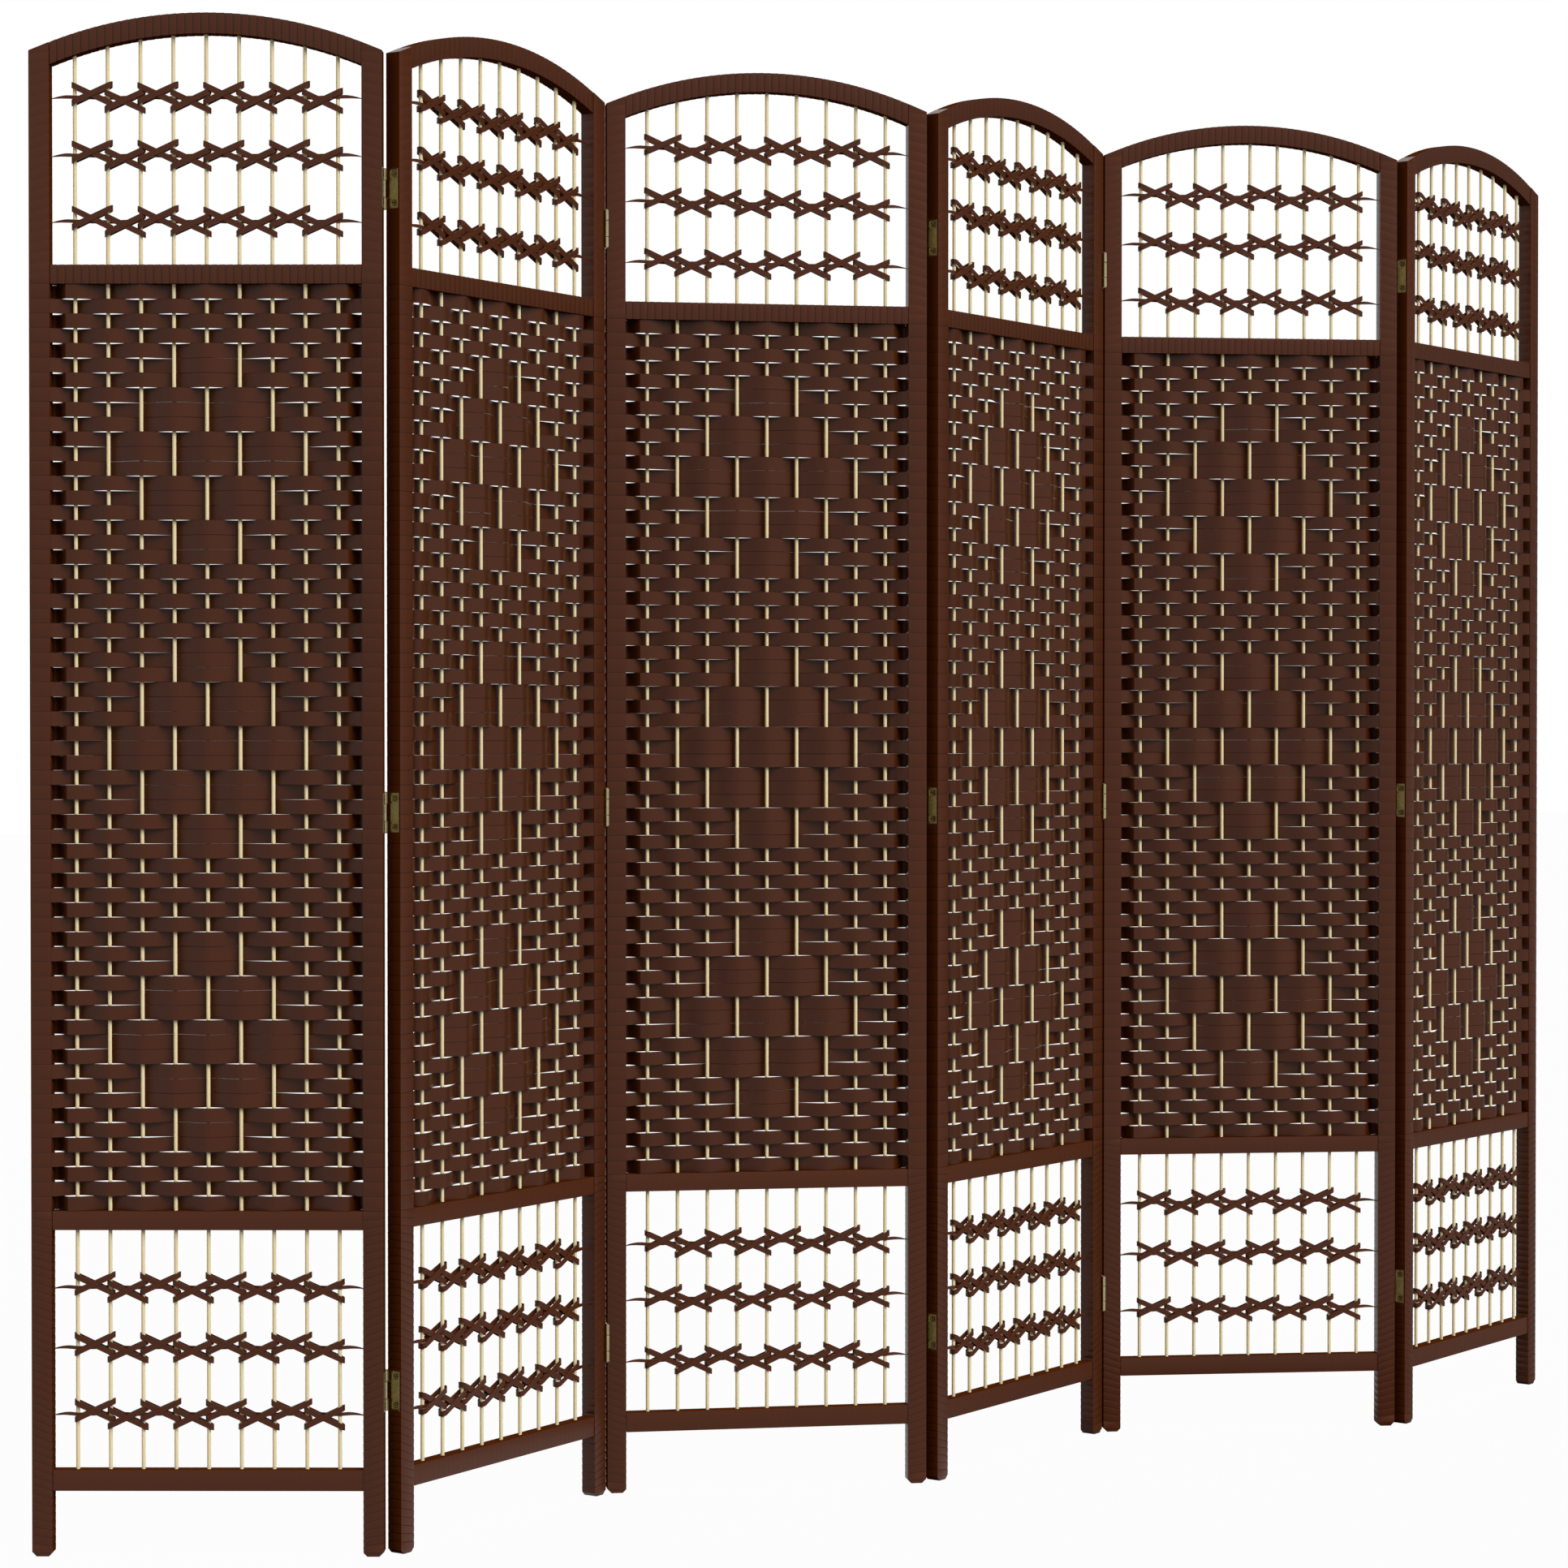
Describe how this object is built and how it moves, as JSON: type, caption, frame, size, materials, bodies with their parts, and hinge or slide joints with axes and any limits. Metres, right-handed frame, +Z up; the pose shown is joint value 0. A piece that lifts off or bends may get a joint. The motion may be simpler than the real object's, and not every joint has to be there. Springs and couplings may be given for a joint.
{
  "type": "folding screen",
  "caption": "Free-standing folding screen of arched panels with a diamond-figured fibre weave on thin rods, open braided bays and brass butt hinges.",
  "frame": {"origin": "middle of the standing screen's footprint, on the floor", "axes": "+X along the screen from the first panel to the last, +Y from the front to the back, +Z up"},
  "size_m": [2.2462, 0.2236, 1.76],
  "materials": {
    "wrapped_frame": "wood wrapped in dark brown fibre strip, satin",
    "rod": "pale peeled cane, satin",
    "fibre_strip": "dark brown flat fibre strip, satin",
    "fibre_ribbon": "dark brown narrow fibre ribbon, satin",
    "hinge_brass": "aged brass"
  },
  "bodies": {
    "panel_1": {"panel_1_left_stile": "wrapped_frame", "panel_1_right_stile": "wrapped_frame", "panel_1_top_rail": "wrapped_frame", "panel_1_cross_rails": "wrapped_frame", "panel_1_rods": "rod", "panel_1_weave": "fibre_strip", "panel_1_braids": "fibre_ribbon", "fold_1_left_leaves": "hinge_brass"},
    "panel_2": {"panel_2_left_stile": "wrapped_frame", "panel_2_right_stile": "wrapped_frame", "panel_2_top_rail": "wrapped_frame", "panel_2_cross_rails": "wrapped_frame", "panel_2_rods": "rod", "panel_2_weave": "fibre_strip", "panel_2_braids": "fibre_ribbon", "fold_1_right_leaves": "hinge_brass", "fold_1_pins": "hinge_brass", "fold_2_left_leaves": "hinge_brass", "fold_2_pins": "hinge_brass"},
    "panel_3": {"panel_3_left_stile": "wrapped_frame", "panel_3_right_stile": "wrapped_frame", "panel_3_top_rail": "wrapped_frame", "panel_3_cross_rails": "wrapped_frame", "panel_3_rods": "rod", "panel_3_weave": "fibre_strip", "panel_3_braids": "fibre_ribbon", "fold_2_right_leaves": "hinge_brass", "fold_3_left_leaves": "hinge_brass"},
    "panel_4": {"panel_4_left_stile": "wrapped_frame", "panel_4_right_stile": "wrapped_frame", "panel_4_top_rail": "wrapped_frame", "panel_4_cross_rails": "wrapped_frame", "panel_4_rods": "rod", "panel_4_weave": "fibre_strip", "panel_4_braids": "fibre_ribbon", "fold_3_right_leaves": "hinge_brass", "fold_3_pins": "hinge_brass", "fold_4_left_leaves": "hinge_brass", "fold_4_pins": "hinge_brass"},
    "panel_5": {"panel_5_left_stile": "wrapped_frame", "panel_5_right_stile": "wrapped_frame", "panel_5_top_rail": "wrapped_frame", "panel_5_cross_rails": "wrapped_frame", "panel_5_rods": "rod", "panel_5_weave": "fibre_strip", "panel_5_braids": "fibre_ribbon", "fold_4_right_leaves": "hinge_brass", "fold_5_left_leaves": "hinge_brass"},
    "panel_6": {"panel_6_left_stile": "wrapped_frame", "panel_6_right_stile": "wrapped_frame", "panel_6_top_rail": "wrapped_frame", "panel_6_cross_rails": "wrapped_frame", "panel_6_rods": "rod", "panel_6_weave": "fibre_strip", "panel_6_braids": "fibre_ribbon", "fold_5_right_leaves": "hinge_brass", "fold_5_pins": "hinge_brass"}
  },
  "joints": [
    {"name": "fold_1", "type": "hinge", "parent": "panel_1", "child": "panel_2", "pos_m": [-0.7656, -0.09326, 0.85], "axis": [0, 0, 1], "range_deg": [-57.5, 122.5]},
    {"name": "fold_2", "type": "hinge", "parent": "panel_2", "child": "panel_3", "pos_m": [-0.39647, 0.0693, 0.85], "axis": [0, 0, -1], "range_deg": [-48, 132]},
    {"name": "fold_3", "type": "hinge", "parent": "panel_3", "child": "panel_4", "pos_m": [-0.0113, -0.05043, 0.85], "axis": [0, 0, 1], "range_deg": [-45, 135]},
    {"name": "fold_4", "type": "hinge", "parent": "panel_4", "child": "panel_5", "pos_m": [0.36584, 0.09259, 0.85], "axis": [0, 0, -1], "range_deg": [-47.8, 132.2]},
    {"name": "fold_5", "type": "hinge", "parent": "panel_5", "child": "panel_6", "pos_m": [0.7447, -0.04581, 0.85], "axis": [0, 0, 1], "range_deg": [-46.3, 133.7]}
  ]
}
